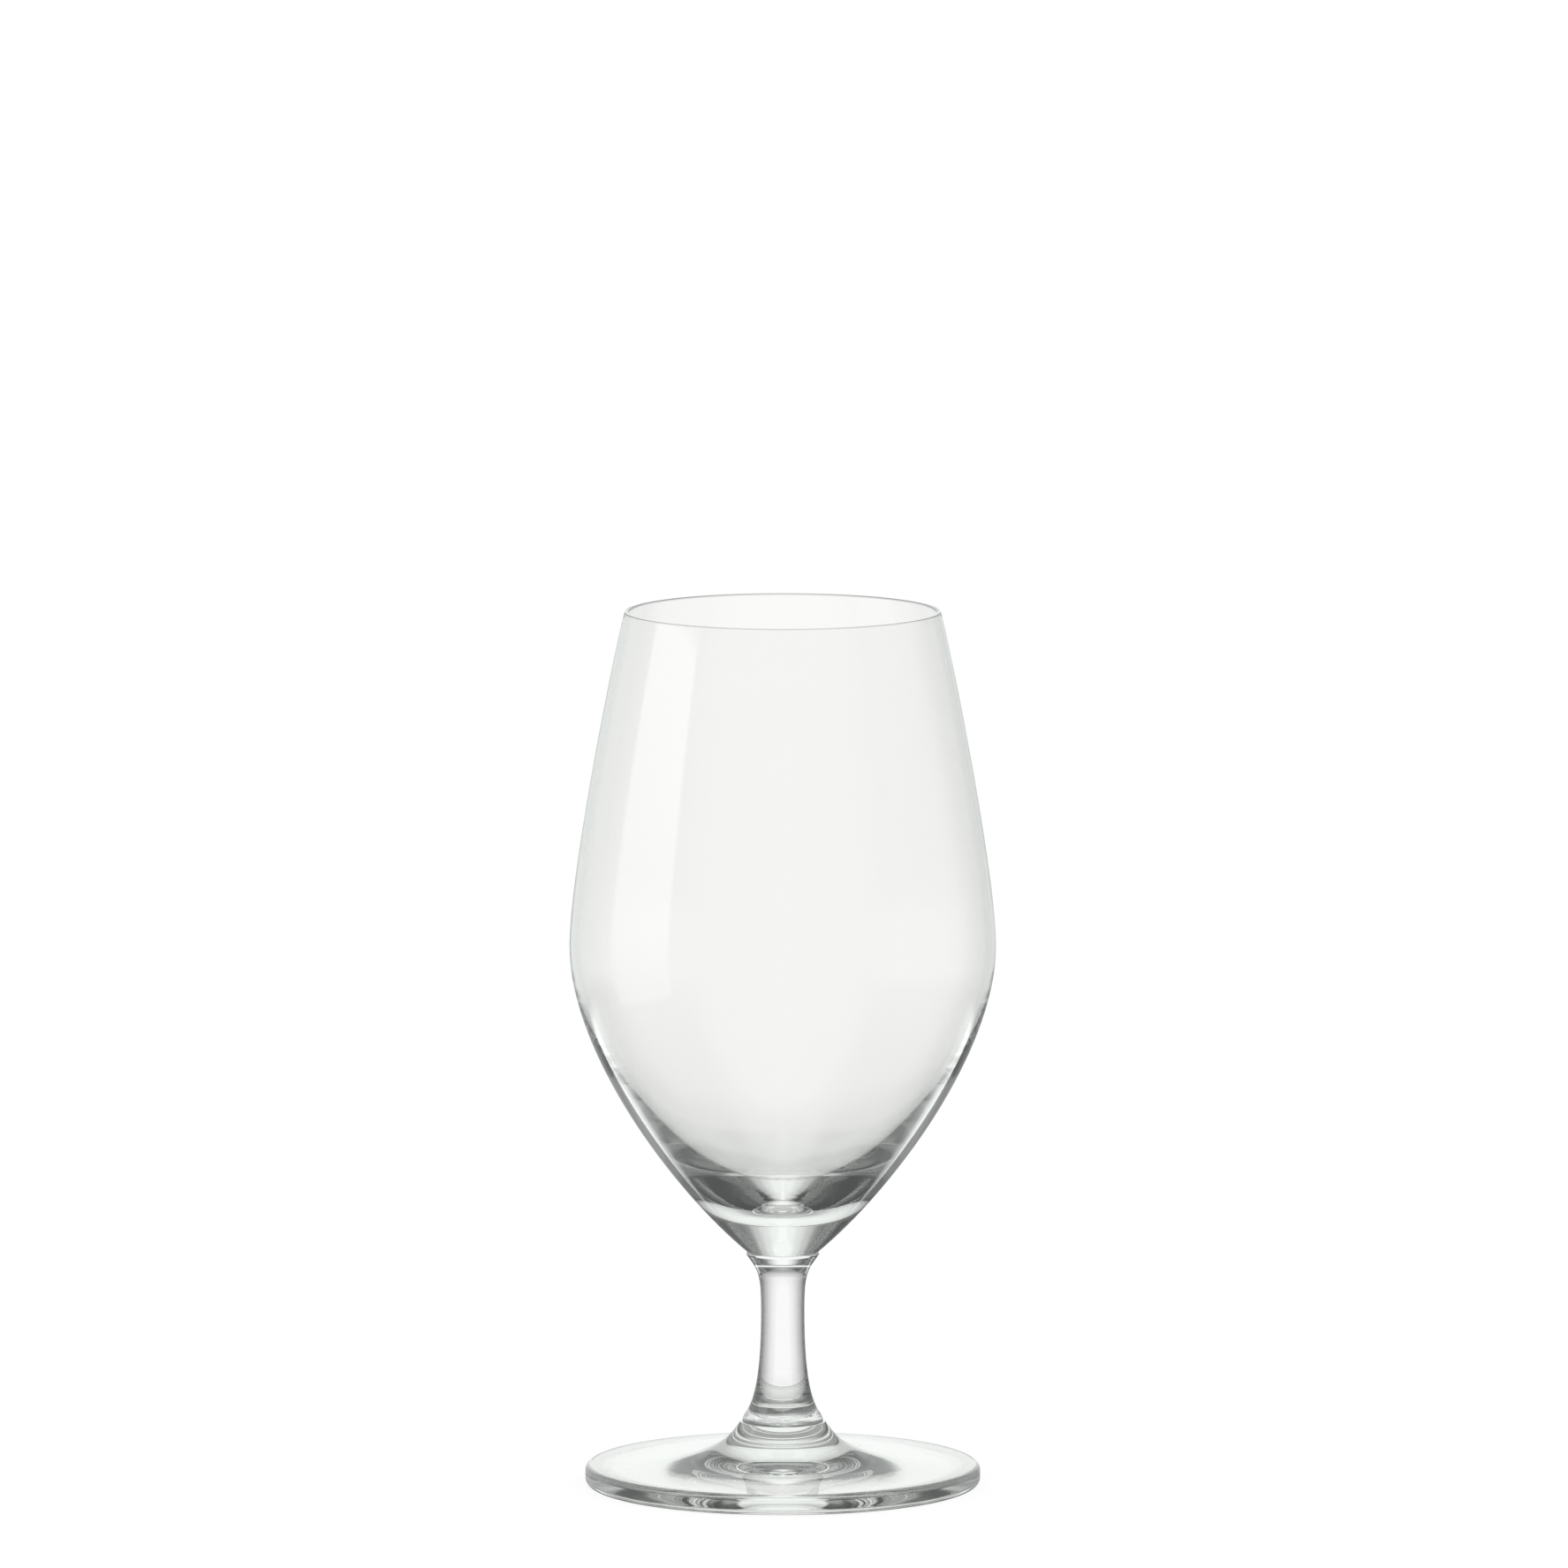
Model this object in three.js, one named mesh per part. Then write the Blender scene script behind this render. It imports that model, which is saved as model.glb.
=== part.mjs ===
// Stemmed water glass: a blown bowl fused to a short drawn stem, which is fused to a pressed foot.
// Millimetres, +Z up. The origin is on the table, at the middle of the foot.
import * as THREE from 'three';

// Heights of the three pieces, stacked on each other
const footHeight = 12.3;
const stemLength = 33.5;
const bowlHeight = 125.5;

// Foot: a pressed disc with a boss in the middle and a shallow hollow underneath
const footRadius = 38.5;
const edgeHeight = 4;
const edgeTopRound = 1.2;
const edgeBottomRound = 1.3;
const contactRingWidth = 2.4;
const hollowDepth = 1.3;
const hollowPull = 13;
const hollowMeetingAngle = 4;
const bossRadius = 8.3;
const bossFlare = 34;
const bossPull = 4;
const plateInnerRadius = 24;
const plateSlope = 4.4;
const platePull = 11.6;

// Stem: flares down to the foot and up to a rounded collar under the bowl
const stemEndRadius = 7.9;
const stemEndFlare = 3;
const stemEndPull = 2.6;
const waistRadius = 4.23;
const waistRise = 21.6;
const waistPullDown = 20.2;
const waistPullUp = 7.6;
const collarRadius = 7.1;
const collarRound = 0.6;
const collarFlare = 36;
const collarPull = 3.9;

// Bowl, outside: swells from the fused base to the belly and leans in to the rim
const baseRadius = 7;
const baseFlare = 49.6;
const basePull = 19.5;
const bellyRadius = 41.45;
const bellyRise = 60;
const bellyPullDown = 20.4;
const bellyPullUp = 12.7;
const rimRadius = 30.75;
const rimLean = 14;
const rimPull = 12.7;

// Bowl, inside: a thin wall that thickens below the belly into a solid base
const rimWall = 0.9;
const bellyWall = 1;
const cavityPullDown = 19;
const cavityPullUp = 12.7;
const floorThickness = 10.6;
const heelRadius = 16.7;
const heelRise = 6.5;
const heelFlare = 54;
const heelPullUp = 8;
const heelPullDown = 9.2;
const floorPull = 7.1;

// Facets: sides round each piece, and steps along a curve of its outline
const wideSides = 56;
const stemSides = 40;
const longSteps = 12;
const shortSteps = 6;
const roundSteps = 4;

// Places that follow from the sizes above
const lowerJoint = footHeight;
const upperJoint = lowerJoint + stemLength;
const rimHeight = upperJoint + bowlHeight;
const bellyHeight = upperJoint + bellyRise;
const cavityFloor = upperJoint + floorThickness;

const radians = THREE.MathUtils.degToRad;
const place = (radius, height) => new THREE.Vector2(radius, height);

// A smooth stretch of outline. Its direction at each end is an angle from straight up towards
// the outside, and the pull there is how far the curve holds to that direction.
function stretch(start, startAngle, startPull, end, endAngle, endPull, steps) {
  const along = (angle, pull) => place(pull * Math.sin(radians(angle)), pull * Math.cos(radians(angle)));
  const startHandle = start.clone().add(along(startAngle, startPull));
  const endHandle = end.clone().sub(along(endAngle, endPull));
  return new THREE.CubicBezierCurve(start, startHandle, endHandle, end).getPoints(steps);
}

// A round stretch of outline about a centre, anticlockwise between two angles from straight out
function rounding(centre, radius, startAngle, endAngle, steps) {
  const arc = new THREE.EllipseCurve(
    centre.x, centre.y, radius, radius, radians(startAngle), radians(endAngle), false,
  );
  return arc.getPoints(steps);
}

// Joins stretches that share their end points into one outline
function outline(...stretches) {
  const points = stretches.flat();
  return points.filter((point, index) => index === 0 || point.distanceTo(points[index - 1]) > 1e-6);
}

// Turns an outline, listed upwards on the outside, about the glass's axis into a named solid
function turned(name, points, sides, glass) {
  const geometry = new THREE.LatheGeometry(points, sides);
  geometry.rotateX(Math.PI / 2);
  const mesh = new THREE.Mesh(geometry, glass);
  mesh.name = name;
  return mesh;
}

const clearGlass = (color) => new THREE.MeshStandardMaterial({
  color,
  roughness: 0.02,
  metalness: 0,
  transparent: true,
  opacity: 0.35,
});

// Foot, from the middle of its hollow, over the ring that it stands on, to the top of its boss
function foot() {
  const hollowTop = place(0, hollowDepth);
  const ringOutside = footRadius - edgeBottomRound;
  const ringInside = place(ringOutside - contactRingWidth, 0);
  const plateEdge = place(footRadius - edgeTopRound, edgeHeight);
  const plateRun = plateEdge.x - plateInnerRadius;
  const plateInside = place(plateInnerRadius, edgeHeight + plateRun * Math.tan(radians(plateSlope)));
  const bossTop = place(bossRadius, lowerJoint);
  const points = outline(
    stretch(hollowTop, 90, hollowPull, ringInside, 90 + hollowMeetingAngle, hollowPull, shortSteps),
    rounding(place(ringOutside, edgeBottomRound), edgeBottomRound, -90, 0, roundSteps),
    rounding(place(plateEdge.x, edgeHeight - edgeTopRound), edgeTopRound, 0, 90, roundSteps),
    stretch(plateInside, plateSlope - 90, platePull, bossTop, -bossFlare, bossPull, longSteps),
    [place(0, lowerJoint)],
  );
  return turned('foot', points, wideSides, clearGlass(0xf2f4f2));
}

// Stem, from its face on the foot, past its waist, to the collar and its face under the bowl
function stem() {
  const end = place(stemEndRadius, lowerJoint);
  const waist = place(waistRadius, lowerJoint + waistRise);
  const collar = place(collarRadius, upperJoint - collarRound);
  const points = outline(
    [place(0, lowerJoint)],
    stretch(end, -stemEndFlare, stemEndPull, waist, 0, waistPullDown, longSteps),
    stretch(waist, 0, waistPullUp, collar, collarFlare, collarPull, longSteps),
    rounding(place(collarRadius - collarRound, collar.y), collarRound, 0, 90, roundSteps),
    [place(0, upperJoint)],
  );
  return turned('stem', points, stemSides, clearGlass(0xf3f3f1));
}

// Bowl, from its face on the stem, up the outside, over the rounded rim and down to the floor inside
function bowl() {
  const lipRadius = rimWall / 2;
  const lipCentre = place(rimRadius - lipRadius, rimHeight - lipRadius);
  const lip = rounding(lipCentre, lipRadius, rimLean, 180 + rimLean, roundSteps);
  const base = place(baseRadius, upperJoint);
  const belly = place(bellyRadius, bellyHeight);
  const bellyInside = place(bellyRadius - bellyWall, bellyHeight);
  const heel = place(heelRadius, cavityFloor + heelRise);
  const floorMiddle = place(0, cavityFloor);
  const points = outline(
    [place(0, upperJoint)],
    stretch(base, baseFlare, basePull, belly, 0, bellyPullDown, longSteps),
    stretch(belly, 0, bellyPullUp, lip[0], -rimLean, rimPull, shortSteps),
    lip,
    stretch(lip[roundSteps], 180 - rimLean, rimPull, bellyInside, 180, cavityPullUp, shortSteps),
    stretch(bellyInside, 180, cavityPullDown, heel, 180 + heelFlare, heelPullUp, longSteps),
    stretch(heel, 180 + heelFlare, heelPullDown, floorMiddle, 270, floorPull, shortSteps),
  );
  return turned('bowl', points, wideSides, clearGlass(0xf4f4f2));
}

const waterGlass = new THREE.Group();
waterGlass.add(foot(), stem(), bowl());

export default waterGlass;
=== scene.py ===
"""A stemmed water glass: a blown bowl fused to a short drawn stem, which is fused to a pressed foot.

Sizes are in millimetres, +Z up. The origin is on the table, at the middle of the foot.
"""
import math

import bpy
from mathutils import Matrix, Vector


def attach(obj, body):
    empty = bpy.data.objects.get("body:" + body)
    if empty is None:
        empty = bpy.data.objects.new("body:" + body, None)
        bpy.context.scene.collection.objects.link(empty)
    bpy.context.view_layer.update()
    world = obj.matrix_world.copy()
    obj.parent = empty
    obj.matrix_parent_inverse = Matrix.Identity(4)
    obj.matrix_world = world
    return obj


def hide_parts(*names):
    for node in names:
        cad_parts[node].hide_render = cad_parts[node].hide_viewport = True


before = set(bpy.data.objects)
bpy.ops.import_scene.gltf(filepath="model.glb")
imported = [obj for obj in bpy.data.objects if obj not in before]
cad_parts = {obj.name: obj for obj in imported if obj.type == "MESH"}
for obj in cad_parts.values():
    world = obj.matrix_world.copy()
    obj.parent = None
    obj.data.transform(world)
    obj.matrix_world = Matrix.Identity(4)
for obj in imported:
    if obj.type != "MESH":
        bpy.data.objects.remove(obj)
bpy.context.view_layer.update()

# Foot
# A disc of pressed crystal glass with a rounded edge and a raised boss in the middle. Underneath it is
# slightly hollow, so it stands on a narrow ring. The boss is fused with heat to the end of the stem.

foot_height = 12.3
foot_radius = 38.5
edge_height = 4
edge_top_round = 1.2
edge_bottom_round = 1.3
contact_ring_width = 2.4
hollow_depth = 1.3
hollow_pull = 13
hollow_meeting_angle = 4
boss_radius = 8.3
boss_flare = 34
boss_pull = 4
plate_inner_radius = 24
plate_slope = 4.4
plate_pull = 11.6
lower_joint_radius = 7.9
mould_wave_width = 9
mould_wave_depth = 0.012
scratch_width = 0.8
scratched_height = 0.2
scratched_roughness = 0.3

# How strongly crystal glass bends light
crystal_index = 1.52

# A handle this share of the radius long makes a quarter of a circle.
quarter = 0.5523

# Faces that meet at a larger angle than this, in degrees, keep a sharp edge between them.
crease_angle = 25


def add(tree, kind, inputs=None, **settings):
    """Adds a node with its settings; an input is given a value, or linked to another node's output."""
    node = tree.nodes.new(kind)
    for name, value in settings.items():
        setattr(node, name, value)
    for socket, value in (inputs or {}).items():
        if isinstance(value, bpy.types.NodeSocket):
            tree.links.new(value, node.inputs[socket])
        else:
            node.inputs[socket].default_value = value
    return node


def turning_tree():
    """The rule for a turned piece: an outline in the plane of X and Z, carried round the upright axis."""
    tree = bpy.data.node_groups.new("Turned outline", "GeometryNodeTree")
    for name, kind in (("Outline", "Geometry"), ("Sides", "Int"), ("Glass", "Material")):
        tree.interface.new_socket(name, in_out="INPUT", socket_type="NodeSocket" + kind)
    tree.interface.new_socket("Turned piece", in_out="OUTPUT", socket_type="NodeSocketGeometry")
    given = add(tree, "NodeGroupInput").outputs
    line = add(tree, "GeometryNodeCurveToMesh", {"Curve": given["Outline"]}).outputs["Mesh"]
    count = add(tree, "GeometryNodeAttributeDomainSize", {"Geometry": line}).outputs["Point Count"]
    columns = add(tree, "ShaderNodeMath", {0: given["Sides"], 1: 1.0}, operation="ADD").outputs[0]
    grid = add(tree, "GeometryNodeMeshGrid", {"Vertices X": columns, "Vertices Y": count}).outputs["Mesh"]
    index = add(tree, "GeometryNodeInputIndex").outputs["Index"]
    column = add(tree, "FunctionNodeIntegerMath", {0: index, 1: count}, operation="DIVIDE_FLOOR").outputs[0]
    row = add(tree, "FunctionNodeIntegerMath", {0: index, 1: count}, operation="MODULO").outputs[0]
    place = add(tree, "GeometryNodeInputPosition").outputs["Position"]
    point = add(tree, "GeometryNodeSampleIndex", {"Geometry": line}, data_type="FLOAT_VECTOR")
    tree.links.new(place, point.inputs["Value"])
    tree.links.new(row, point.inputs["Index"])
    part = add(tree, "ShaderNodeSeparateXYZ", {0: point.outputs[0]}).outputs
    turn = add(tree, "ShaderNodeMath", {0: math.tau, 1: given["Sides"]}, operation="DIVIDE").outputs[0]
    angle = add(tree, "ShaderNodeMath", {0: column, 1: turn}, operation="MULTIPLY").outputs[0]
    cosine = add(tree, "ShaderNodeMath", {0: angle}, operation="COSINE").outputs[0]
    sine = add(tree, "ShaderNodeMath", {0: angle}, operation="SINE").outputs[0]
    across = add(tree, "ShaderNodeMath", {0: part["X"], 1: cosine}, operation="MULTIPLY").outputs[0]
    deep = add(tree, "ShaderNodeMath", {0: part["X"], 1: sine}, operation="MULTIPLY").outputs[0]
    turned_to = add(tree, "ShaderNodeCombineXYZ", {"X": across, "Y": deep, "Z": part["Z"]}).outputs[0]
    surface = add(tree, "GeometryNodeSetPosition", {"Geometry": grid, "Position": turned_to}).outputs[0]
    closed = add(tree, "GeometryNodeMergeByDistance", {"Geometry": surface, "Distance": 1e-6}).outputs[0]
    smooth = add(tree, "GeometryNodeSetShadeSmooth", {"Geometry": closed}).outputs[0]
    real = add(tree, "GeometryNodeRealizeInstances", {"Geometry": smooth}).outputs[0]
    glass = add(tree, "GeometryNodeSetMaterial", {"Geometry": real, "Material": given["Glass"]}).outputs[0]
    add(tree, "NodeGroupOutput", {0: glass})
    return tree


turning = turning_tree()


def knot(radius, height, angle_in=None, pull_in=0, angle_out=None, pull_out=0):
    """A point of an outline. Its direction before and after is an angle from straight up towards the
    outside, with how far the curve holds to it; where no direction is given, that side is straight."""
    point = Vector((radius, 0, height)) / 1000

    def along(angle, pull):
        return Vector((math.sin(math.radians(angle)), 0, math.cos(math.radians(angle)))) * pull / 1000

    before = None if angle_in is None else point - along(angle_in, pull_in)
    after = None if angle_out is None else point + along(angle_out, pull_out)
    return point, before, after


def turned(name, knots, sides, steps, glass):
    """Draws an outline through its knots, turns it with the tree above and keeps the plain mesh."""
    curve = bpy.data.curves.new(name, "CURVE")
    curve.dimensions = "3D"
    curve.resolution_u = steps
    spline = curve.splines.new("BEZIER")
    spline.bezier_points.add(len(knots) - 1)
    for place, (point, before, after) in zip(spline.bezier_points, knots):
        place.co = point
        place.handle_left_type = "VECTOR" if before is None else "FREE"
        place.handle_right_type = "VECTOR" if after is None else "FREE"
        place.handle_left = point if before is None else before
        place.handle_right = point if after is None else after
    drawn = bpy.data.objects.new(name + "_outline", curve)
    bpy.context.scene.collection.objects.link(drawn)
    modifier = drawn.modifiers.new("Turned outline", "NODES")
    modifier.node_group = turning
    given = [item for item in turning.interface.items_tree if item.in_out == "INPUT"]
    sockets = {item.name: item.identifier for item in given}
    modifier[sockets["Sides"]] = sides
    modifier[sockets["Glass"]] = glass
    mesh = bpy.data.meshes.new_from_object(drawn.evaluated_get(bpy.context.evaluated_depsgraph_get()))
    drawn.modifiers.remove(modifier)
    bpy.data.objects.remove(drawn)
    bpy.data.curves.remove(curve)
    mesh.name = name
    mesh.set_sharp_from_angle(angle=math.radians(crease_angle))
    piece = bpy.data.objects.new(name, mesh)
    bpy.context.scene.collection.objects.link(piece)
    return piece


# Fused join: where two pieces melted into one another there is no surface left for light to meet.
join = bpy.data.materials.new("Fused join")
join.use_nodes = True
join.node_tree.nodes.clear()
no_surface = add(join.node_tree, "ShaderNodeBsdfTransparent").outputs[0]
add(join.node_tree, "ShaderNodeOutputMaterial", {"Surface": no_surface})


def fuse(piece, height, radius):
    """Gives the faces of a piece on a fused joint the clear join, through which light goes straight."""
    if join.name not in piece.data.materials:
        piece.data.materials.append(join)
    for face in piece.data.polygons:
        flat = abs(face.center.z * 1000 - height) < 0.01 and abs(face.normal.z) > 0.99
        if flat and face.center.xy.length * 1000 < radius:
            face.material_index = piece.data.materials.find(join.name)


def linear(code):
    """A colour written as on a screen, #RRGGBB, as the linear light that a shader takes."""
    parts = [int(code[i:i + 2], 16) / 255 for i in (1, 3, 5)]
    return [p / 12.92 if p <= 0.04045 else ((p + 0.055) / 1.055) ** 2.4 for p in parts] + [1]


def ramp(tree, value, *stops):
    """A grey that follows a value through stops of (value, grey), smoothly."""
    low, high = stops[0][0], stops[-1][0]
    share = add(tree, "ShaderNodeMapRange", {"Value": value, "From Min": low, "From Max": high}).outputs[0]
    node = add(tree, "ShaderNodeValToRGB", {0: share})
    node.color_ramp.interpolation = "EASE"
    marks = node.color_ramp.elements
    while len(marks) < len(stops):
        marks.new(0.5)
    for mark, (place, grey) in zip(marks, stops):
        mark.position = (place - low) / (high - low)
        mark.color = (grey, grey, grey, 1)
    return node.outputs[0]


def grain(tree, place, across, upright):
    """A smooth random grey in lumps of a width and a height in millimetres."""
    scale = (1000 / across, 1000 / across, 1000 / upright)
    lumps = add(tree, "ShaderNodeMapping", {"Vector": place, "Scale": scale}).outputs[0]
    return add(tree, "ShaderNodeTexNoise", {"Vector": lumps, "Scale": 1, "Detail": 1}).outputs["Fac"]


# Pressed crystal glass: clear and all but colourless, with faint waves left by the mould and, on the ring
# that it stands on, fine scratches that dull it.
foot_glass = bpy.data.materials.new("Pressed crystal glass")
foot_glass.use_nodes = True
tree = foot_glass.node_tree
shader = tree.nodes["Principled BSDF"]
shader.inputs["Base Color"].default_value = linear("#F8F8F6")
shader.inputs["IOR"].default_value = crystal_index
shader.inputs["Transmission Weight"].default_value = 1
place = add(tree, "ShaderNodeTexCoord").outputs["Object"]
part = add(tree, "ShaderNodeSeparateXYZ", {0: place}).outputs
upright = add(tree, "ShaderNodeMath", {0: part["Z"], 1: 1000}, operation="MULTIPLY").outputs[0]
waves = grain(tree, place, mould_wave_width, mould_wave_width)
surface = add(tree, "ShaderNodeBump", {"Height": waves, "Distance": mould_wave_depth / 1000})
tree.links.new(surface.outputs[0], shader.inputs["Normal"])
touching = ramp(tree, upright, (scratched_height / 10, scratched_roughness), (scratched_height, 0.0))
scratches = grain(tree, place, scratch_width, scratch_width)
worn = add(tree, "ShaderNodeMath", {0: touching, 1: scratches}, operation="MULTIPLY").outputs[0]
tree.links.new(worn, shader.inputs["Roughness"])

ring_outside = foot_radius - edge_bottom_round
ring_inside = ring_outside - contact_ring_width
plate_edge = foot_radius - edge_top_round
plate_rise = (plate_edge - plate_inner_radius) * math.tan(math.radians(plate_slope))
foot = turned("foot_pressed", [
    knot(0, hollow_depth, angle_out=90, pull_out=hollow_pull),
    knot(ring_inside, 0, angle_in=90 + hollow_meeting_angle, pull_in=hollow_pull),
    knot(ring_outside, 0, angle_out=90, pull_out=quarter * edge_bottom_round),
    knot(foot_radius, edge_bottom_round, angle_in=0, pull_in=quarter * edge_bottom_round),
    knot(foot_radius, edge_height - edge_top_round, angle_out=0, pull_out=quarter * edge_top_round),
    knot(plate_edge, edge_height, angle_in=-90, pull_in=quarter * edge_top_round),
    knot(plate_inner_radius, edge_height + plate_rise, angle_out=plate_slope - 90, pull_out=plate_pull),
    knot(boss_radius, foot_height, angle_in=-boss_flare, pull_in=boss_pull),
    knot(lower_joint_radius, foot_height),
    knot(0, foot_height),
], sides=192, steps=24, glass=foot_glass)
fuse(foot, foot_height, lower_joint_radius)
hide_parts("foot")
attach(foot, "root")

# Stem
# A short solid rod of crystal glass, drawn out while hot. It flares down to the foot and up to a rounded
# collar, and it is fused with heat to the foot's boss below and to the base of the bowl above.

stem_length = 33.5
stem_end_flare = 3
stem_end_pull = 2.6
waist_radius = 4.23
waist_rise = 21.6
waist_pull_down = 20.2
waist_pull_up = 7.6
collar_radius = 7.1
collar_round = 0.6
collar_flare = 36
collar_pull = 3.9
upper_joint = foot_height + stem_length
upper_joint_radius = collar_radius - collar_round
wrinkle_width = 4
wrinkle_height = 0.7
wrinkle_depth = 0.12
white = linear("#FFFFFF")

# Drawn crystal glass: clear and bright, with painted shade in its colour that darkens it towards its sides
# by how slanted its surface is, standing in for the dark room that a rod bends into view.
# Just above the foot it has wrinkles, most at the right, where the hot glass met a cold tool.
stem_glass = bpy.data.materials.new("Drawn crystal glass")
stem_glass.use_nodes = True
tree = stem_glass.node_tree
shader = tree.nodes["Principled BSDF"]
shader.inputs["Roughness"].default_value = 0
shader.inputs["IOR"].default_value = crystal_index
shader.inputs["Transmission Weight"].default_value = 1
place = add(tree, "ShaderNodeTexCoord").outputs["Object"]
part = add(tree, "ShaderNodeSeparateXYZ", {0: place}).outputs
upright = add(tree, "ShaderNodeMath", {0: part["Z"], 1: 1000}, operation="MULTIPLY").outputs[0]

# Painted shade: the colour darkens with how slanted the surface is, only along the rod's height, and is
# taken once, where light enters the rod. A Mix node's colours are its inputs 6 and 7.
facing = add(tree, "ShaderNodeLayerWeight", {"Blend": 0.5}).outputs["Facing"]
painted_edge_shade = ramp(
    tree, facing,
    (0.03, 1.0), (0.12, 0.79), (0.17, 0.65), (0.24, 0.49), (0.3, 0.35), (0.43, 0.19), (0.56, 0.05),
)
painted_shade_span = ramp(tree, upright, (13, 0.0), (20, 1.0), (40.5, 1.0), (43, 0.0))
painted_shade_tint = add(tree, "ShaderNodeMix", {0: painted_shade_span, 6: white, 7: painted_edge_shade}, data_type="RGBA").outputs[2]
leaving = add(tree, "ShaderNodeNewGeometry").outputs["Backfacing"]
entering_with_painted_shade = add(tree, "ShaderNodeMix", {0: leaving, 6: painted_shade_tint, 7: white}, data_type="RGBA").outputs[2]
tree.links.new(entering_with_painted_shade, shader.inputs["Base Color"])

low_down = ramp(tree, upright, (12.6, 1.0), (16.5, 0.0))
rightward = ramp(tree, part["X"], (-6 / 1000, 0.3), (4 / 1000, 1.0))
chilled = add(tree, "ShaderNodeMath", {0: low_down, 1: rightward}, operation="MULTIPLY").outputs[0]
folds = grain(tree, place, wrinkle_width, wrinkle_height)
wrinkles = add(tree, "ShaderNodeMath", {0: chilled, 1: folds}, operation="MULTIPLY").outputs[0]
surface = add(tree, "ShaderNodeBump", {"Height": wrinkles, "Distance": wrinkle_depth / 1000})
tree.links.new(surface.outputs[0], shader.inputs["Normal"])

stem = turned("stem_drawn", [
    knot(0, foot_height),
    knot(lower_joint_radius, foot_height, angle_out=-stem_end_flare, pull_out=stem_end_pull),
    knot(waist_radius, foot_height + waist_rise, 0, waist_pull_down, 0, waist_pull_up),
    knot(collar_radius, upper_joint - collar_round, collar_flare, collar_pull, 0, quarter * collar_round),
    knot(upper_joint_radius, upper_joint, angle_in=-90, pull_in=quarter * collar_round),
    knot(0, upper_joint),
], sides=160, steps=32, glass=stem_glass)
fuse(stem, foot_height, lower_joint_radius)
fuse(stem, upper_joint, upper_joint_radius)
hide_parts("stem")
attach(stem, "root")

# Bowl
# Crystal glass blown in a mould: a wall about 1 mm thick that thickens below the belly into a solid base,
# with a rounded rim melted smooth in a flame. Its base is fused with heat to the collar of the stem.

bowl_height = 125.5
base_radius = 7
base_flare = 49.6
base_pull = 19.5
belly_radius = 41.45
belly_rise = 60
belly_pull_down = 20.4
belly_pull_up = 12.7
rim_radius = 30.75
rim_lean = 14
rim_pull = 12.7
rim_wall = 0.9
belly_wall = 1
cavity_pull_down = 19
cavity_pull_up = 12.7
floor_thickness = 10.6
heel_radius = 16.7
heel_rise = 6.5
heel_flare = 54
heel_pull_up = 8
heel_pull_down = 9.2
floor_pull = 7.1
rim_height = upper_joint + bowl_height
belly_height = upper_joint + belly_rise
cavity_floor = upper_joint + floor_thickness
blown_wave_width = 22
blown_wave_depth = 0.015
turning_line_length = 90
turning_line_width = 0.9
turning_line_depth = 0.03

# Light that is trapped in the wall is let out above the first of these heights, after so many mirrorings
# at the second and at the third.
outlet_start = 82
outlet_low = 84
outlet_high = 130
mirrorings_low = 20
mirrorings_high = 5

# Blown crystal glass: clear, with a wall so thin that it hardly takes light, faint waves from blowing, and
# fine lines round its base from turning in the mould.
bowl_glass = bpy.data.materials.new("Blown crystal glass")
bowl_glass.use_nodes = True
tree = bowl_glass.node_tree
shader = tree.nodes["Principled BSDF"]
shader.inputs["Base Color"].default_value = linear("#FFFFFE")
shader.inputs["Roughness"].default_value = 0
shader.inputs["IOR"].default_value = crystal_index
shader.inputs["Transmission Weight"].default_value = 1
place = add(tree, "ShaderNodeTexCoord").outputs["Object"]
part = add(tree, "ShaderNodeSeparateXYZ", {0: place}).outputs
upright = add(tree, "ShaderNodeMath", {0: part["Z"], 1: 1000}, operation="MULTIPLY").outputs[0]
waves = grain(tree, place, blown_wave_width, blown_wave_width)
waved = add(tree, "ShaderNodeBump", {"Height": waves, "Distance": blown_wave_depth / 1000}).outputs[0]
at_base = ramp(tree, upright, (46, 1.0), (50, 0.8), (52.5, 0.0))
lines = grain(tree, place, turning_line_length, turning_line_width)
turned_lines = add(tree, "ShaderNodeMath", {0: at_base, 1: lines}, operation="MULTIPLY").outputs[0]
surface = add(tree, "ShaderNodeBump", {
    "Height": turned_lines,
    "Distance": turning_line_depth / 1000,
    "Normal": waved,
})
tree.links.new(surface.outputs[0], shader.inputs["Normal"])

# In a real wall light is mirrored on and on until it comes out somewhere. Here its bounces are limited, so
# light that has been mirrored often goes straight out. Without this the rim would be black.
most = add(tree, "ShaderNodeMapRange", {
    "Value": upright,
    "From Min": outlet_low,
    "From Max": outlet_high,
    "To Min": mirrorings_low,
    "To Max": mirrorings_high,
}).outputs[0]
mirrorings = add(tree, "ShaderNodeLightPath").outputs["Glossy Depth"]
piped = add(tree, "ShaderNodeMath", {0: mirrorings, 1: most}, operation="GREATER_THAN").outputs[0]
in_wall = add(tree, "ShaderNodeMath", {0: upright, 1: outlet_start}, operation="GREATER_THAN").outputs[0]
trapped = add(tree, "ShaderNodeMath", {0: piped, 1: in_wall}, operation="MULTIPLY").outputs[0]
way_out = add(tree, "ShaderNodeBsdfTransparent").outputs[0]
glass = add(tree, "ShaderNodeMixShader", {0: trapped, 1: shader.outputs[0], 2: way_out}).outputs[0]
tree.links.new(glass, tree.nodes["Material Output"].inputs["Surface"])

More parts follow.
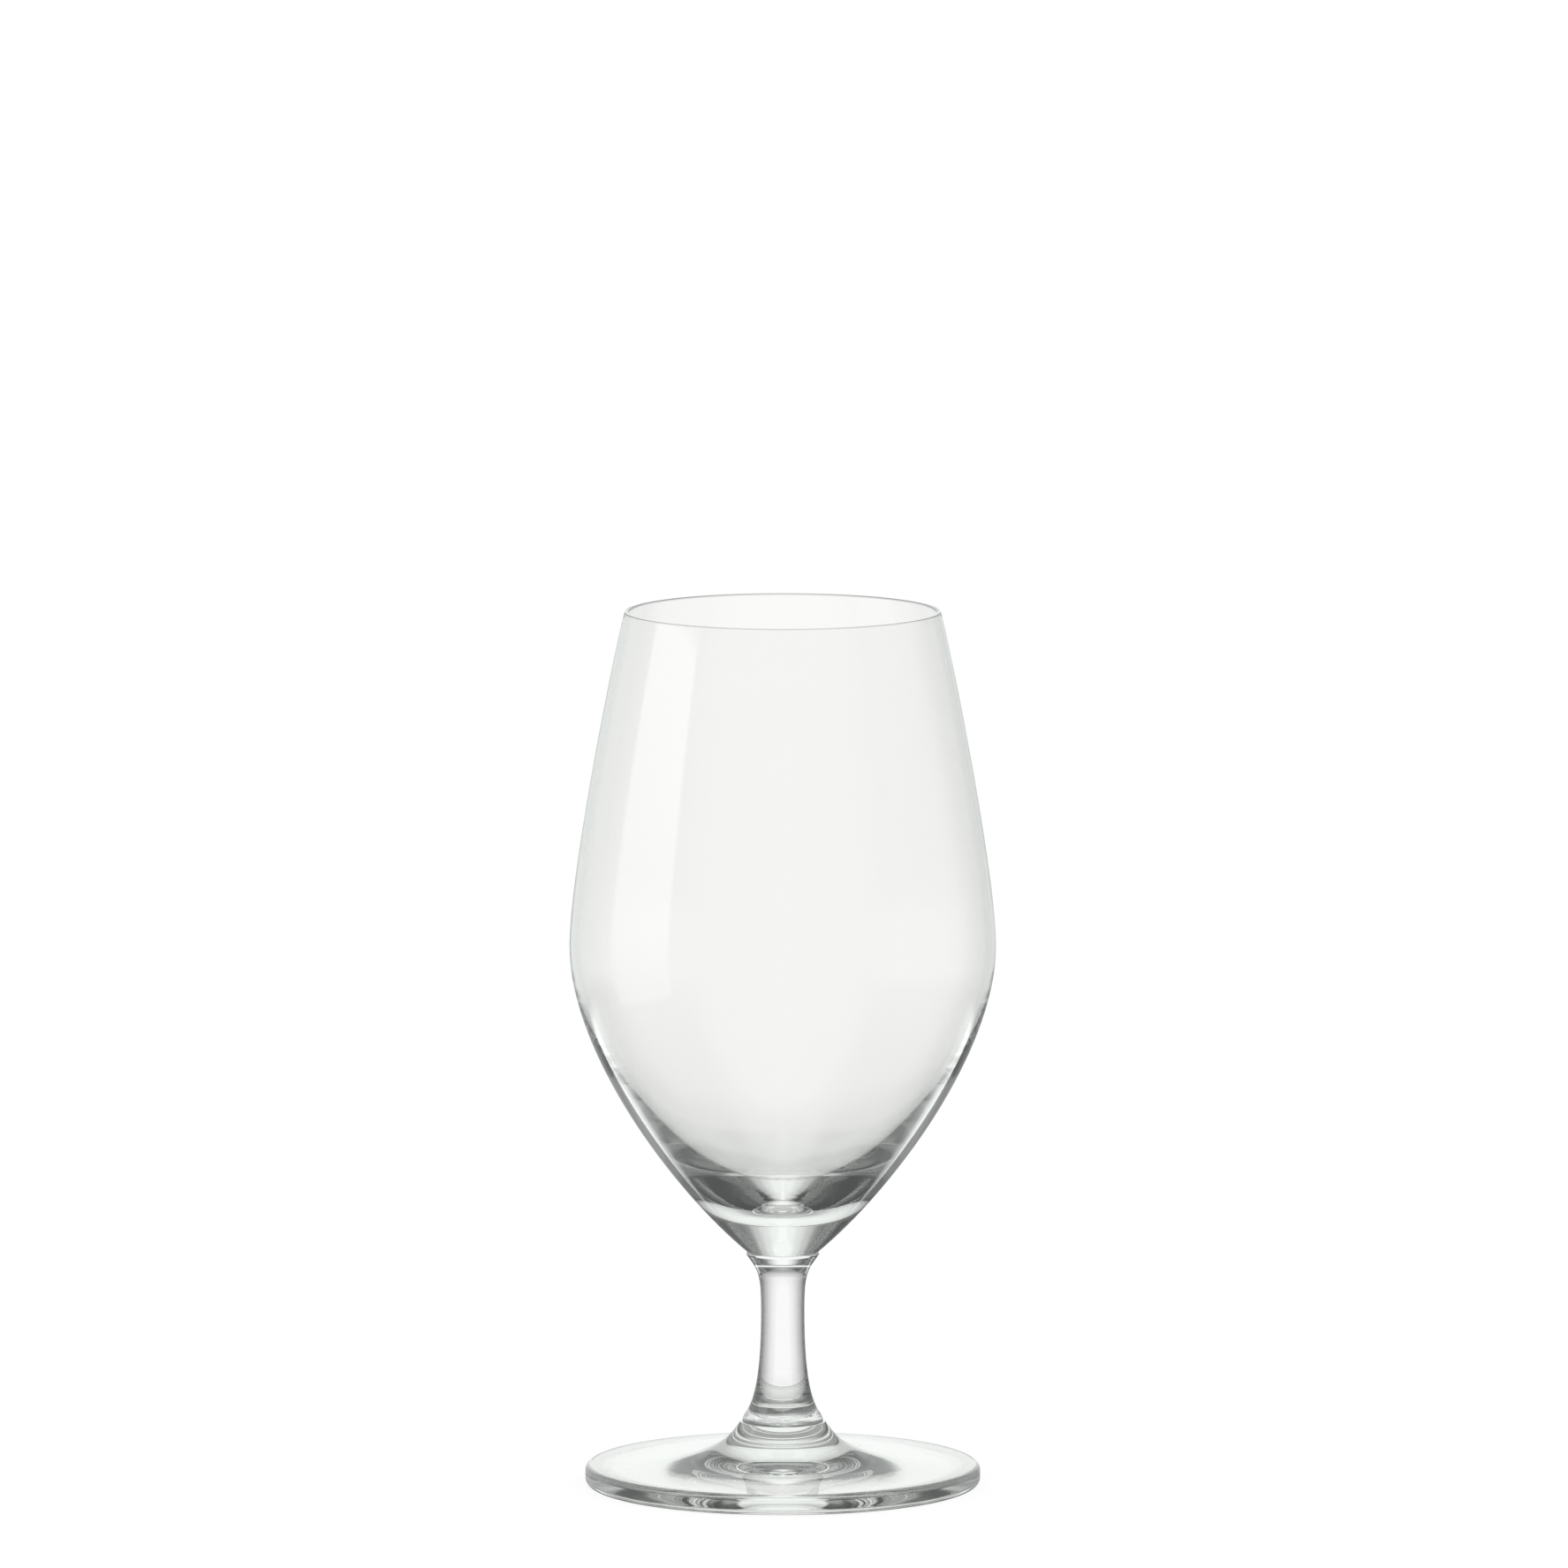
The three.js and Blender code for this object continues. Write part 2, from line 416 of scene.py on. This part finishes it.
lip = rim_wall / 2
lean = math.radians(rim_lean)
lip_middle = Vector((rim_radius - lip, rim_height - lip))
lip_out = Vector((math.cos(lean), math.sin(lean))) * lip
lip_up = Vector((-math.sin(lean), math.cos(lean))) * lip
heel_angle = 180 + heel_flare
bowl = turned("bowl_blown", [
    knot(0, upper_joint),
    knot(upper_joint_radius, upper_joint),
    knot(base_radius, upper_joint, angle_out=base_flare, pull_out=base_pull),
    knot(belly_radius, belly_height, 0, belly_pull_down, 0, belly_pull_up),
    knot(*(lip_middle + lip_out), -rim_lean, rim_pull, -rim_lean, quarter * lip),
    knot(*(lip_middle + lip_up), -90 - rim_lean, quarter * lip, -90 - rim_lean, quarter * lip),
    knot(*(lip_middle - lip_out), 180 - rim_lean, quarter * lip, 180 - rim_lean, rim_pull),
    knot(belly_radius - belly_wall, belly_height, 180, cavity_pull_up, 180, cavity_pull_down),
    knot(heel_radius, cavity_floor + heel_rise, heel_angle, heel_pull_up, heel_angle, heel_pull_down),
    knot(0, cavity_floor, angle_in=270, pull_in=floor_pull),
], sides=192, steps=32, glass=bowl_glass)
fuse(bowl, upper_joint, upper_joint_radius)
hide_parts("bowl")
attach(bowl, "root")

# Studio
# A white table and a white surround, a tall soft box at the left and a grey room that shows only where the
# glass mirrors it. The surround is one world, which shows another part to light that was mirrored.

scene = bpy.context.scene
scene.view_settings.view_transform = "Standard"
bounces = 32
scene.cycles.max_bounces = bounces
scene.cycles.glossy_bounces = bounces
scene.cycles.transmission_bounces = bounces
scene.cycles.transparent_max_bounces = bounces

strip_strength = 2.8
black = linear("#000000")
dimmed_white = linear("#D5D8D6")
mirrored_tint = linear("#FBFFFD")

world = bpy.data.worlds.new("Studio")
scene.world = world
world.use_nodes = True
tree = world.node_tree
tree.nodes.clear()
path = add(tree, "ShaderNodeLightPath").outputs

# A direction is a height above level and a side, both in degrees. Straight behind the glass the side is 0,
# and it grows to the right. The turn is the same to either side.
direction = add(tree, "ShaderNodeTexCoord").outputs["Generated"]
part = add(tree, "ShaderNodeSeparateXYZ", {0: direction}).outputs
rise = add(tree, "ShaderNodeMath", {0: part["Z"]}, operation="ARCSINE").outputs[0]
height = add(tree, "ShaderNodeMath", {0: rise}, operation="DEGREES").outputs[0]
bearing = add(tree, "ShaderNodeMath", {0: part["X"], 1: part["Y"]}, operation="ARCTAN2").outputs[0]
side = add(tree, "ShaderNodeMath", {0: bearing}, operation="DEGREES").outputs[0]
turn = add(tree, "ShaderNodeMath", {0: side}, operation="ABSOLUTE").outputs[0]

# Straight through the glass: white all round, a little dimmer low down behind it, and dark overhead.
behind = ramp(tree, turn, (50, 1.0), (80, 0.0))
rising = ramp(tree, height, (-66, 1.0), (-57, 0.0), (-36, 0.2), (-27, 0.48), (-22, 0.78), (-15, 1.0))
below = add(tree, "ShaderNodeMix", {0: rising, 6: dimmed_white, 7: white}, data_type="RGBA").outputs[2]
around = add(tree, "ShaderNodeMix", {0: behind, 6: white, 7: below}, data_type="RGBA").outputs[2]
overhead = ramp(tree, height, (8, 1.0), (18, 0.75), (31, 0.5), (42, 0.3), (52, 0.3), (65, 1.0))
through = add(tree, "ShaderNodeMix", {0: overhead, 6: black, 7: around}, data_type="RGBA").outputs[2]

# Mirrored on the outside: a grey room, lighter at the left, the white backdrop straight behind the glass,
# and low at each side behind it a narrow strip light.
left = ramp(tree, side, (-130, 0.42), (-100, 0.5), (-75, 0.62), (-55, 0.7), (-30, 0.6), (0, 0.5))
right = ramp(tree, side, (0, 0.4), (30, 0.38), (55, 0.45), (75, 0.56), (100, 0.5), (130, 0.42))
on_right = add(tree, "ShaderNodeMath", {0: side, 1: 0.0}, operation="GREATER_THAN").outputs[0]
ring = add(tree, "ShaderNodeMix", {0: on_right, 6: left, 7: right}, data_type="RGBA").outputs[2]
level = ramp(tree, height, (-20, 0.4), (-10, 1.0), (15, 1.0), (40, 0.25), (60, 0.25), (75, 1.0))
in_front = ramp(tree, turn, (100, 0.0), (140, 1.0))
lit = add(tree, "ShaderNodeMath", {0: level, 1: in_front}, operation="MAXIMUM").outputs[0]
room = add(tree, "ShaderNodeMath", {0: ring, 1: lit}, operation="MULTIPLY").outputs[0]
near = ramp(tree, turn, (4, 1.0), (14, 0.35), (24, 0.0))
above = ramp(tree, height, (-10, 0.0), (-2, 1.0), (8, 1.0), (14, 0.8), (22, 0.5), (45, 0.0))
backdrop = add(tree, "ShaderNodeMath", {0: near, 1: above}, operation="MULTIPLY").outputs[0]
backed = add(tree, "ShaderNodeMix", {0: backdrop, 6: room, 7: white}, data_type="RGBA").outputs[2]
narrow = ramp(tree, turn, (27, 0.0), (29.5, 1.0), (34, 0.85), (40, 0.4), (50, 0.1), (60, 0.0))
short = ramp(tree, height, (-37, 0.0), (-33, 0.5), (-28, 1.0), (-20, 1.0), (-16, 0.0))
strip = add(tree, "ShaderNodeMath", {0: narrow, 1: short}, operation="MULTIPLY").outputs[0]
outside = add(
    tree, "ShaderNodeMath", {0: strip, 1: strip_strength, 2: backed}, operation="MULTIPLY_ADD",
).outputs[0]

# Mirrored once inside: the backdrop, which fades to the sides, downwards and overhead.
across = ramp(tree, turn, (16, 1.0), (26, 0.8), (35, 0.5), (50, 0.0))
up = ramp(
    tree, height,
    (-80, 0.2), (-60, 0.5), (-36, 0.35), (-30, 0.55), (-25, 0.85), (-14, 1.0),
    (30, 1.0), (50, 0.1), (60, 0.1), (75, 1.0),
)
faded = add(tree, "ShaderNodeMath", {0: across, 1: up}, operation="MULTIPLY").outputs[0]
once = add(tree, "ShaderNodeMix", {0: faded, 6: room, 7: white}, data_type="RGBA").outputs[2]

# Mirrored again and again inside: the middle of the backdrop, narrower higher up, between dark sides, a dim
# front, and the bright table below and lamp above.
spread = add(tree, "ShaderNodeMapRange", {
    "Value": height,
    "From Min": -14,
    "From Max": 40,
    "To Min": 1,
    "To Max": 1.8,
}).outputs[0]
aside = add(tree, "ShaderNodeMath", {0: turn, 1: spread}, operation="MULTIPLY").outputs[0]
middle = ramp(tree, aside, (8, 1.0), (16, 0.86), (26, 0.62), (40, 0.27), (52, 0.16), (62, 0.08))
front = ramp(tree, turn, (70, 0.08), (85, 0.16), (125, 0.3), (150, 0.4), (170, 0.3))
dim_front = add(tree, "ShaderNodeMath", {0: front, 1: level}, operation="MULTIPLY").outputs[0]
at_level = add(tree, "ShaderNodeMath", {0: middle, 1: dim_front}, operation="MAXIMUM").outputs[0]
low = ramp(tree, turn, (30, 0.42), (45, 0.36), (55, 0.16), (80, 0.09), (110, 0.32), (150, 0.6))
lowering = ramp(tree, height, (-26, 1.0), (-14, 0.0))
sideways = add(tree, "ShaderNodeMix", {0: lowering, 6: at_level, 7: low}, data_type="RGBA").outputs[2]
lamp = ramp(tree, turn, (15, 0.9), (28, 0.35), (40, 0.06), (130, 0.05), (150, 1.0))
to_lamp = ramp(tree, height, (40, 0.0), (52, 1.0))
upward = add(tree, "ShaderNodeMix", {0: to_lamp, 6: sideways, 7: lamp}, data_type="RGBA").outputs[2]
under = ramp(tree, turn, (40, 1.0), (90, 0.6))
to_table = ramp(tree, height, (-46, 1.0), (-38, 0.0))
again = add(tree, "ShaderNodeMix", {0: to_table, 6: upward, 7: under}, data_type="RGBA").outputs[2]

# The kind of path that the light took picks one of these. The camera and the table see plain white.
entered, mirrored = path["Transmission Depth"], path["Glossy Depth"]
inside = add(tree, "ShaderNodeMath", {0: entered, 1: 0.5}, operation="GREATER_THAN").outputs[0]
turned_back = add(tree, "ShaderNodeMath", {0: mirrored, 1: 0.5}, operation="GREATER_THAN").outputs[0]
turned_again = add(tree, "ShaderNodeMath", {0: mirrored, 1: 1.5}, operation="GREATER_THAN").outputs[0]
within = add(tree, "ShaderNodeMix", {0: turned_again, 6: once, 7: again}, data_type="RGBA").outputs[2]
reflected = add(tree, "ShaderNodeMix", {0: inside, 6: outside, 7: within}, data_type="RGBA").outputs[2]
tinted = add(
    tree, "ShaderNodeMix", {0: 1.0, 6: reflected, 7: mirrored_tint}, data_type="RGBA", blend_type="MULTIPLY",
).outputs[2]
by_glass = add(tree, "ShaderNodeMix", {0: turned_back, 6: through, 7: tinted}, data_type="RGBA").outputs[2]
to_camera, to_table_top = path["Is Camera Ray"], path["Is Diffuse Ray"]
open_view = add(tree, "ShaderNodeMath", {0: to_camera, 1: to_table_top}, operation="MAXIMUM").outputs[0]
seen = add(tree, "ShaderNodeMix", {0: open_view, 6: by_glass, 7: white}, data_type="RGBA").outputs[2]
sky = add(tree, "ShaderNodeBackground", {"Color": seen}).outputs[0]
add(tree, "ShaderNodeOutputWorld", {"Surface": sky})


def card(name, corners, material):
    """A flat sheet that belongs to the studio, by its corners in millimetres."""
    sheet = bpy.data.meshes.new(name)
    sheet.from_pydata([[length / 1000 for length in corner] for corner in corners], [], [(0, 1, 2, 3)])
    sheet.materials.append(material)
    piece = bpy.data.objects.new(name, sheet)
    scene.collection.objects.link(piece)


# White table: paper white to the camera, with the faint shadow of a glass.
table = bpy.data.materials.new("White table")
table.use_nodes = True
tree = table.node_tree
tree.nodes.clear()
path = add(tree, "ShaderNodeLightPath").outputs
shaded = add(tree, "ShaderNodeBsdfDiffuse", {"Color": linear("#616161")}).outputs[0]
glow = add(tree, "ShaderNodeEmission", {"Color": white, "Strength": 0.9}).outputs[0]
paper = add(tree, "ShaderNodeAddShader", {0: shaded, 1: glow}).outputs[0]
unseen = add(tree, "ShaderNodeBsdfTransparent").outputs[0]
top = add(tree, "ShaderNodeMixShader", {0: path["Is Camera Ray"], 1: unseen, 2: paper}).outputs[0]
add(tree, "ShaderNodeOutputMaterial", {"Surface": top})
reach = 6000
card("table", [(-reach, -reach, 0), (reach, -reach, 0), (reach, reach, 0), (-reach, reach, 0)], table)

# Soft box: a tall lit cloth that fades towards its foot and shows only where the glass mirrors it.
cloth_side = -250
cloth_front = -140
cloth_back = 45
cloth_height = 245
cloth_brightest = 225
cloth = bpy.data.materials.new("Soft box cloth")
cloth.use_nodes = True
tree = cloth.node_tree
tree.nodes.clear()
path = add(tree, "ShaderNodeLightPath").outputs
place = add(tree, "ShaderNodeTexCoord").outputs["Object"]
upright = add(tree, "ShaderNodeSeparateXYZ", {0: place}).outputs["Z"]
bright = ramp(tree, upright, (0, 0.58), (cloth_brightest / 1000, 1.34), (cloth_height / 1000, 0.6))
glow = add(tree, "ShaderNodeEmission", {"Strength": bright}).outputs[0]
unseen = add(tree, "ShaderNodeBsdfTransparent").outputs[0]
mirrored, entered = path["Glossy Depth"], path["Transmission Depth"]
just_once = add(tree, "ShaderNodeMath", {0: mirrored, 1: 1.0, 2: 0.5}, operation="COMPARE").outputs[0]
near_wall = add(tree, "ShaderNodeMath", {0: entered, 1: 2.5}, operation="LESS_THAN").outputs[0]
shown = add(tree, "ShaderNodeMath", {0: just_once, 1: near_wall}, operation="MULTIPLY").outputs[0]
lit_cloth = add(tree, "ShaderNodeMixShader", {0: shown, 1: unseen, 2: glow}).outputs[0]
add(tree, "ShaderNodeOutputMaterial", {"Surface": lit_cloth})
card("soft_box", [
    (cloth_side, cloth_front, 0),
    (cloth_side, cloth_back, 0),
    (cloth_side, cloth_back, cloth_height),
    (cloth_side, cloth_front, cloth_height),
], cloth)

# The camera stands 3.2 m in front of the glass and looks down on it by 7 degrees.
camera_aside = 0.25
camera_away = 3201.25
camera_height = 539.43
aim_height = 137.46
lens = bpy.data.cameras.new("Camera")
lens.lens = 381.7
camera = bpy.data.objects.new("Camera", lens)
camera.location = (camera_aside / 1000, -camera_away / 1000, camera_height / 1000)
aim = Vector((camera_aside / 1000, 0, aim_height / 1000))
camera.rotation_euler = (aim - camera.location).to_track_quat("-Z", "Y").to_euler()
scene.collection.objects.link(camera)
scene.camera = camera
